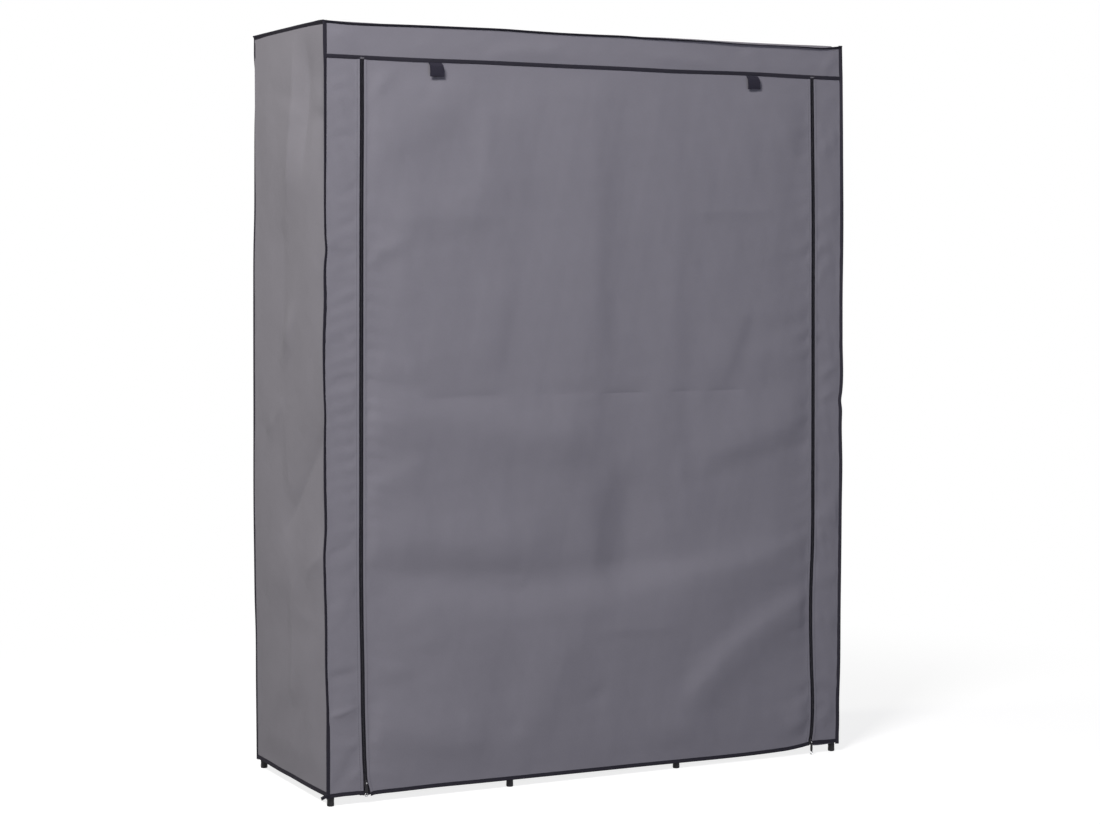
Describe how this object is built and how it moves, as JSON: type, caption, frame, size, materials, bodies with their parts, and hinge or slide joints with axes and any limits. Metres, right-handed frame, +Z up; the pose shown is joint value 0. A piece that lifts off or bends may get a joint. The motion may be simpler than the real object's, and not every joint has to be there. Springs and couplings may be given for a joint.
{
  "type": "portable fabric wardrobe",
  "caption": "Free-standing wardrobe of steel tubes under a zipped nonwoven cover, with a roll-up door, fabric shelves on one side and hanging rods.",
  "frame": {"origin": "on the floor, under the middle of the cover", "axes": "+Z up, the zipped front towards -Y, the shelf bay towards -X"},
  "size_m": [1.3326, 0.4709, 1.7],
  "materials": {
    "cover_cloth": "matte nonwoven",
    "shelf_cloth": "matte nonwoven",
    "binding": "matte woven tape",
    "steel_tube": "satin powder coat",
    "connector_plastic": "matte moulded",
    "zip_tape": "nylon coil on woven tape",
    "zip_metal": "satin black enamel"
  },
  "bodies": {
    "wardrobe": {"foot_front_1": "connector_plastic", "upright_front_1": "steel_tube", "foot_front_2": "connector_plastic", "upright_front_2": "steel_tube", "foot_front_3": "connector_plastic", "upright_front_3": "steel_tube", "foot_front_4": "connector_plastic", "upright_front_4": "steel_tube", "bottom_rail_front": "steel_tube", "top_rail_front": "steel_tube", "foot_rear_1": "connector_plastic", "upright_rear_1": "steel_tube", "foot_rear_2": "connector_plastic", "upright_rear_2": "steel_tube", "foot_rear_3": "connector_plastic", "upright_rear_3": "steel_tube", "foot_rear_4": "connector_plastic", "upright_rear_4": "steel_tube", "bottom_rail_rear": "steel_tube", "top_rail_rear": "steel_tube", "bottom_depth_rail_1": "steel_tube", "top_depth_rail_1": "steel_tube", "bottom_depth_rail_2": "steel_tube", "top_depth_rail_2": "steel_tube", "bottom_depth_rail_3": "steel_tube", "top_depth_rail_3": "steel_tube", "bottom_depth_rail_4": "steel_tube", "top_depth_rail_4": "steel_tube", "shelf_frame_1": "steel_tube", "shelf_frame_2": "steel_tube", "shelf_frame_3": "steel_tube", "hanging_rod_centre": "steel_tube", "hanging_rod_right": "steel_tube", "shelf_cloth_1": "shelf_cloth", "shelf_cloth_2": "shelf_cloth", "shelf_cloth_3": "shelf_cloth", "bottom_cloth_left": "shelf_cloth", "bottom_cloth_centre": "shelf_cloth", "bottom_cloth_right": "shelf_cloth", "roof_panel": "cover_cloth", "front_top_band": "cover_cloth", "left_side_panel": "cover_cloth", "right_side_panel": "cover_cloth", "back_panel": "cover_cloth", "front_left_strip": "cover_cloth", "front_right_strip": "cover_cloth", "door_panel": "cover_cloth", "door_top_binding": "binding", "left_zip_frame_side": "zip_tape", "left_zip_door_side": "zip_tape", "right_zip_door_side": "zip_tape", "right_zip_frame_side": "zip_tape"},
    "door_hem": {"door_hem": "binding"},
    "left_zip_slider": {"left_zip_slider": "zip_metal"},
    "right_zip_slider": {"right_zip_slider": "zip_metal"},
    "left_zip_pull": {"left_zip_pull": "zip_metal"},
    "right_zip_pull": {"right_zip_pull": "zip_metal"},
    "left_tie": {"left_tie": "binding"},
    "right_tie": {"right_tie": "binding"}
  },
  "joints": [
    {"name": "door_raise", "type": "slide", "parent": "wardrobe", "child": "door_hem", "axis": [0, 0, 1], "range_m": [0, 1.45], "deforming": ["door_panel", "left_zip_door_side", "right_zip_door_side"]},
    {"name": "left_zip_slide", "type": "slide", "parent": "wardrobe", "child": "left_zip_slider", "axis": [0, 0, 1], "range_m": [0, 1.45]},
    {"name": "right_zip_slide", "type": "slide", "parent": "wardrobe", "child": "right_zip_slider", "axis": [0, 0, 1], "range_m": [0, 1.45]},
    {"name": "left_pull_swing", "type": "hinge", "parent": "left_zip_slider", "child": "left_zip_pull", "pos_m": [-0.57845, -0.2348, 0.046], "axis": [-1, 0, 0], "range_deg": [0, 150]},
    {"name": "right_pull_swing", "type": "hinge", "parent": "right_zip_slider", "child": "right_zip_pull", "pos_m": [0.57845, -0.2348, 0.031], "axis": [-1, 0, 0], "range_deg": [0, 150]},
    {"name": "left_tie_swing", "type": "hinge", "parent": "wardrobe", "child": "left_tie", "pos_m": [-0.403, -0.2298, 1.6206], "axis": [-1, 0, 0], "range_deg": [0, 120]},
    {"name": "right_tie_swing", "type": "hinge", "parent": "wardrobe", "child": "right_tie", "pos_m": [0.41, -0.2298, 1.6206], "axis": [-1, 0, 0], "range_deg": [0, 120]}
  ],
  "couplings": [
    {"joint": "left_zip_slide", "follows": "door_raise", "ratio": 1},
    {"joint": "right_zip_slide", "follows": "door_raise", "ratio": 1}
  ]
}
